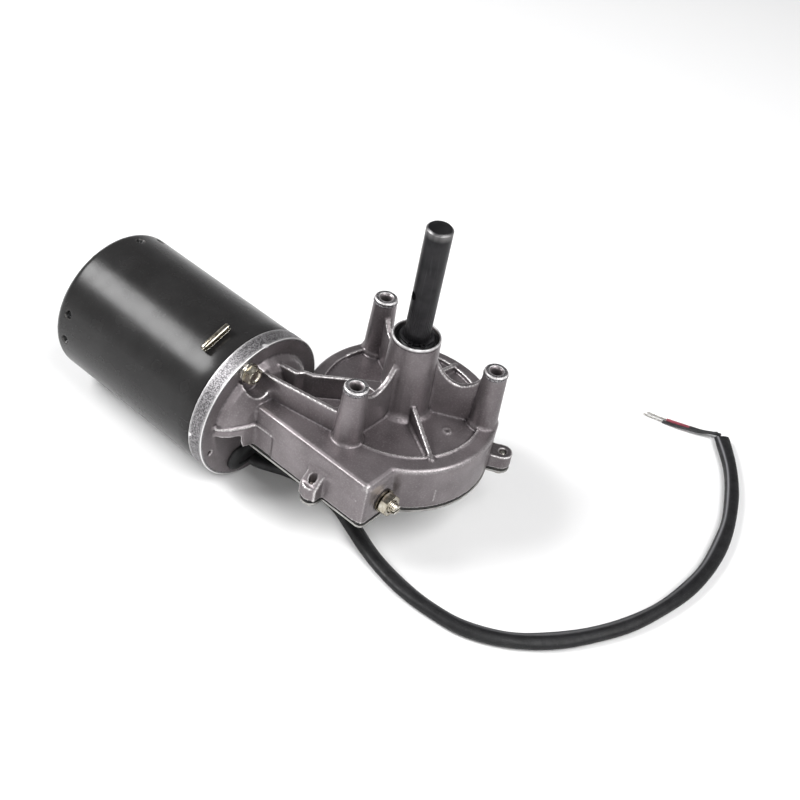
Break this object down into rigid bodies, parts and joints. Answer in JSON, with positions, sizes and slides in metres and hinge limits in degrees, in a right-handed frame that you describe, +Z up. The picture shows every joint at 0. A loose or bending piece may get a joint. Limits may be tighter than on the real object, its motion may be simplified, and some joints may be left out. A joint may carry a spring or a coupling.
{
  "type": "right-angle worm gearmotor",
  "caption": "Brushed DC motor in a drawn steel can driving a vertical output shaft through a worm gear in a cast case with fixing posts and a power cord.",
  "frame": {"origin": "under the middle of the motor and gearbox, level with the lowest line of the round can; the cord is not counted", "axes": "+Z up along the output shaft, +X along the armature from the closed end of the can towards the gearbox"},
  "size_m": [0.307, 0.2458, 0.1504],
  "materials": {
    "cast_aluminium": "as-cast, slightly bright on edges",
    "black_paint": "satin",
    "zinc_plate": "bright zinc, faintly yellow",
    "bright_steel": "ground",
    "black_oxide": "blackened and oiled",
    "sintered_bronze": "porous, oiled",
    "black_rubber": "matt",
    "white_nylon": "greased",
    "copper": "enamelled",
    "silicon_iron": "stamped sheets",
    "ferrite": "matt",
    "phenolic_board": "matt",
    "carbon": "matt",
    "gasket_paper": "fibrous",
    "brass": "stamped",
    "tinned_copper": "bright",
    "cord_sheath": "satin sleeve",
    "red_insulation": "gloss",
    "black_insulation": "gloss"
  },
  "bodies": {
    "housing": {"gear_housing": "cast_aluminium", "gear_cover": "zinc_plate", "cover_gasket": "gasket_paper", "cover_screw_1": "zinc_plate", "cover_screw_2": "zinc_plate", "cover_screw_3": "zinc_plate", "cover_screw_4": "zinc_plate", "cover_screw_5": "zinc_plate", "motor_can": "black_paint", "magnet_1": "ferrite", "magnet_2": "ferrite", "through_bolt_1": "zinc_plate", "through_bolt_2": "zinc_plate", "lock_washer_1": "zinc_plate", "lock_washer_2": "zinc_plate", "brush_plate": "phenolic_board", "brush_holder_1": "brass", "brush_holder_2": "brass", "brush_spring_1": "bright_steel", "brush_spring_2": "bright_steel", "front_bearing_outer_race": "bright_steel", "rear_bush": "sintered_bronze", "tail_bush": "sintered_bronze", "output_bush_upper": "sintered_bronze", "output_bush_lower": "sintered_bronze", "thrust_ball": "bright_steel", "adjusting_washer": "zinc_plate", "adjusting_nut": "zinc_plate", "adjusting_screw": "zinc_plate", "oil_seal": "black_rubber", "cord_grommet": "black_rubber", "spring_pin": "zinc_plate", "cord_sleeve": "cord_sheath", "wire_red": "red_insulation", "wire_black": "black_insulation", "wire_red_tip": "tinned_copper", "wire_black_tip": "tinned_copper"},
    "armature": {"armature_shaft": "bright_steel", "lamination_stack": "silicon_iron", "armature_winding": "copper", "commutator": "copper", "front_bearing_inner_race": "bright_steel"},
    "output": {"output_shaft": "black_oxide", "worm_wheel": "white_nylon", "wheel_hub": "zinc_plate", "drive_key": "bright_steel", "hub_thrust_washer": "bright_steel", "shaft_circlip": "black_oxide"},
    "brush_upper": {"carbon_brush_1": "carbon"},
    "brush_lower": {"carbon_brush_2": "carbon"}
  },
  "joints": [
    {"name": "armature_spin", "type": "hinge", "parent": "housing", "child": "armature", "pos_m": [0.05397, -0.02985, 0.0376], "axis": [1, 0, 0], "continuous": true},
    {"name": "output_spin", "type": "hinge", "parent": "housing", "child": "output", "pos_m": [0.05397, 0.01365, 0.0376], "axis": [0, 0, 1], "continuous": true},
    {"name": "brush_upper_slide", "type": "slide", "parent": "housing", "child": "brush_upper", "axis": [0, 0, 1], "range_m": [0, 0.003], "stiffness_N_per_m": 200, "springref_m": -0.01, "deforming": ["brush_spring_1"]},
    {"name": "brush_lower_slide", "type": "slide", "parent": "housing", "child": "brush_lower", "axis": [0, 0, -1], "range_m": [0, 0.003], "stiffness_N_per_m": 200, "springref_m": -0.01, "deforming": ["brush_spring_2"]}
  ],
  "couplings": [
    {"joint": "output_spin", "follows": "armature_spin", "ratio": -0.020408}
  ]
}
